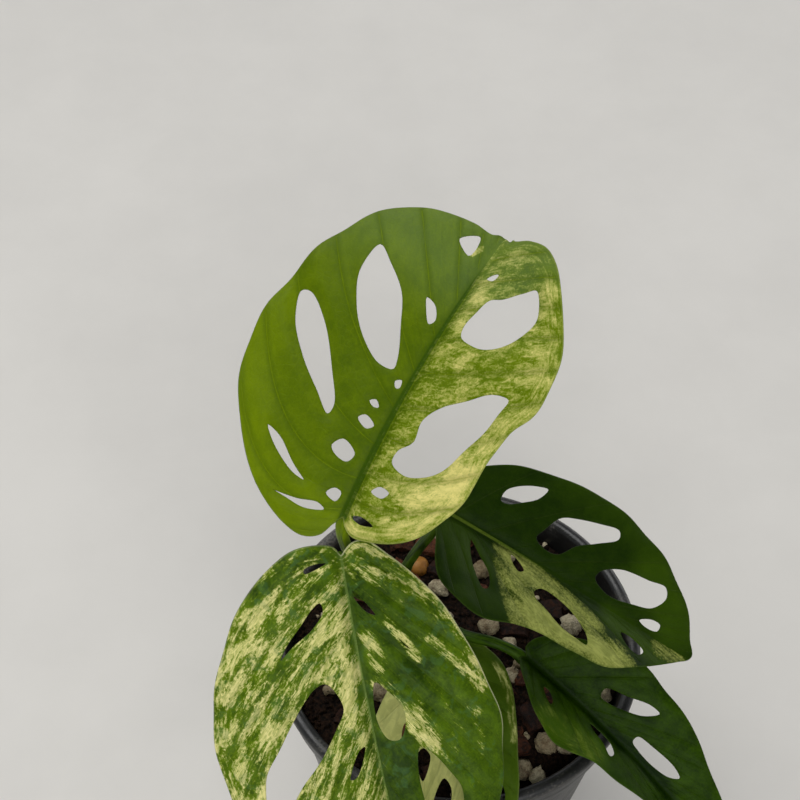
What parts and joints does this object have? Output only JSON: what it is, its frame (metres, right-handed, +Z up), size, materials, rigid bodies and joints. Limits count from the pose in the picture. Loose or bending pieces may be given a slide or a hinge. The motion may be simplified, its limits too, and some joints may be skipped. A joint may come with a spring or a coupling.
{
  "type": "potted variegated monstera",
  "caption": "Young aroid house plant with holed, cream-marbled leaves on thin stalks, growing from bark soil in a round tapered nursery pot with a rolled rim.",
  "frame": {"origin": "centre of the pot's flat underside", "axes": "+Z up along the pot's axis, -Y towards the viewer of the picture, +X to the viewer's right"},
  "size_m": [0.1295, 0.1476, 0.2172],
  "materials": {
    "pot": "satin",
    "soil": "matte",
    "stem": "satin",
    "leaf_top": "satin",
    "leaf_front": "satin",
    "leaf_right": "satin",
    "leaf_low_right": "satin",
    "leaf_low_front": "satin"
  },
  "bodies": {
    "root": {"pot": "pot", "soil": "soil", "stem": "stem", "leaf_top": "leaf_top", "leaf_front": "leaf_front", "leaf_right": "leaf_right", "leaf_low_right": "leaf_low_right", "leaf_low_front": "leaf_low_front"}
  },
  "joints": []
}
